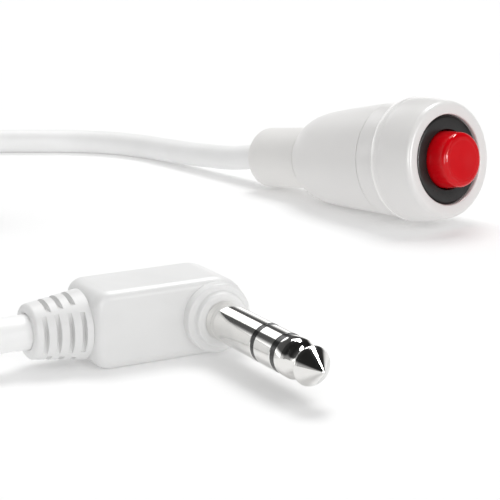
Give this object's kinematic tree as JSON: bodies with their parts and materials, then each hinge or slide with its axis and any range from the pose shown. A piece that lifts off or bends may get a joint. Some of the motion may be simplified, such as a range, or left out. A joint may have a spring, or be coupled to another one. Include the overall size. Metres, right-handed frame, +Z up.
{
  "type": "nurse call button",
  "caption": "Bell-shaped hand pendant with a red push button in a black bezel, on a white cord with a right-angle jack plug.",
  "frame": {"origin": "on the floor under the middle of the pendant, as it lies with its bell on the floor", "axes": "+X along the pendant towards its button, +Z up; the pendant's own axis climbs 8 degrees towards +X"},
  "size_m": [0.2196, 0.1663, 0.0265],
  "materials": {
    "white_shell": "satin",
    "white_sleeve": "matte",
    "white_cord": "satin",
    "white_plug": "satin",
    "black_bezel": "satin",
    "black_rubber": "matte",
    "black_band": "gloss",
    "red_cap": "gloss",
    "natural_plastic": "matte",
    "brown_board": "matte",
    "steel": "satin",
    "plated_pin": "polished",
    "terminal_brass": "satin",
    "contact_copper": "satin",
    "lead_red": "satin",
    "lead_black": "satin",
    "tie_fabric": "matte"
  },
  "bodies": {
    "pendant": {"rear_housing": "white_shell", "front_housing": "white_shell", "housing_seal": "black_rubber", "cord_sleeve": "white_sleeve", "cord_in_sleeve": "white_cord", "cord_clamp": "steel", "bezel_bushing": "black_bezel", "bezel_gasket": "black_rubber", "lock_washer": "steel", "mounting_nut": "steel", "return_spring": "steel", "terminal_base": "brown_board", "terminal_left": "terminal_brass", "terminal_right": "terminal_brass", "lead_left": "lead_red", "lead_right": "lead_black", "cord_run": "white_cord", "cord_coil": "white_cord", "cord_tail": "white_cord", "coil_tie": "tie_fabric", "plug_body": "white_plug", "plug_core": "natural_plastic", "plug_relief": "white_plug", "cord_in_plug": "white_cord", "plug_lead_tip": "lead_red", "plug_lead_sleeve": "lead_black", "pin_sleeve": "plated_pin", "pin_rear_band": "black_band", "pin_ring": "plated_pin", "pin_front_band": "black_band", "pin_tip": "plated_pin"},
    "button": {"button_cap": "red_cap", "plunger": "natural_plastic", "plunger_clip": "steel", "contact_disc": "contact_copper"}
  },
  "joints": [
    {"name": "button_press", "type": "slide", "parent": "pendant", "child": "button", "axis": [-0.9903, 0, -0.1388], "range_m": [0, 0.002], "stiffness_N_per_m": 800, "springref_m": -0.001, "deforming": ["return_spring"]}
  ]
}
